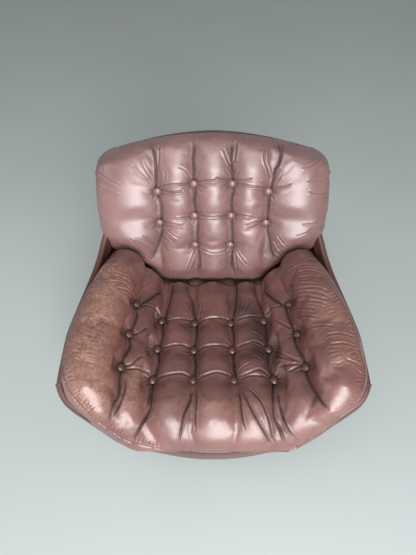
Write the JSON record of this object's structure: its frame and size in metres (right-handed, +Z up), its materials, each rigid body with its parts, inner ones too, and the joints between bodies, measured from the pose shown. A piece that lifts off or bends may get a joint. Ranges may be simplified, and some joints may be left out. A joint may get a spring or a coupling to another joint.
{
  "type": "lounge chair",
  "caption": "Swivel tub lounge chair: leather-covered shell with a buttoned one-piece seat-and-arms cushion and a buttoned back cushion, on a four-arm star base",
  "frame": {"origin": "on the floor, on the swivel axis, under the middle of the chair", "axes": "+Z up, the sitter faces -Y, +X to the right of someone who looks at the chair from the front"},
  "size_m": [0.8532, 0.7914, 0.806],
  "materials": {
    "cushion_leather": "glossy aniline leather, red-brown, worn lighter on the left arm",
    "button_leather": "the same leather drawn over button shells",
    "shell_leather": "smooth red-brown leather, glued and sewn",
    "moulded_shell": "moulded, as released",
    "plywood": "sanded birch plywood",
    "softwood": "planed pine",
    "webbing_rubber": "woven-faced rubber webbing",
    "zinc_steel": "zinc-plated",
    "black_steel": "black stove enamel",
    "turned_steel": "turned bright steel",
    "cast_aluminium": "polished casting",
    "nylon": "moulded nylon, black",
    "bush_nylon": "machined nylon, natural",
    "dust_cloth": "black non-woven cloth"
  },
  "bodies": {
    "base": {"star_base": "cast_aluminium", "glides": "nylon", "upper_bush": "bush_nylon", "lower_bush": "bush_nylon", "thrust_washer": "bush_nylon"},
    "seat": {"spindle": "turned_steel", "retaining_washer": "zinc_steel", "retaining_ring": "zinc_steel", "seat_plate": "black_steel", "plate_bolts": "zinc_steel", "tee_nuts": "zinc_steel", "bottom_board": "plywood", "frame_screws": "zinc_steel", "left_rail": "softwood", "right_rail": "softwood", "front_rail": "softwood", "rear_rail": "softwood", "seat_webbing": "webbing_rubber", "webbing_clips": "zinc_steel", "tub_shell": "moulded_shell", "dust_cover": "dust_cloth", "cover_front": "shell_leather", "cover_front_left": "shell_leather", "cover_front_right": "shell_leather", "cover_left": "shell_leather", "cover_right": "shell_leather", "cover_back": "shell_leather", "seat_cushion": "cushion_leather", "back_cushion": "cushion_leather", "seat_buttons": "button_leather", "back_buttons": "button_leather"}
  },
  "joints": [
    {"name": "swivel", "type": "hinge", "parent": "base", "child": "seat", "pos_m": [0, 0, 0.15], "axis": [0, 0, 1], "continuous": true}
  ]
}
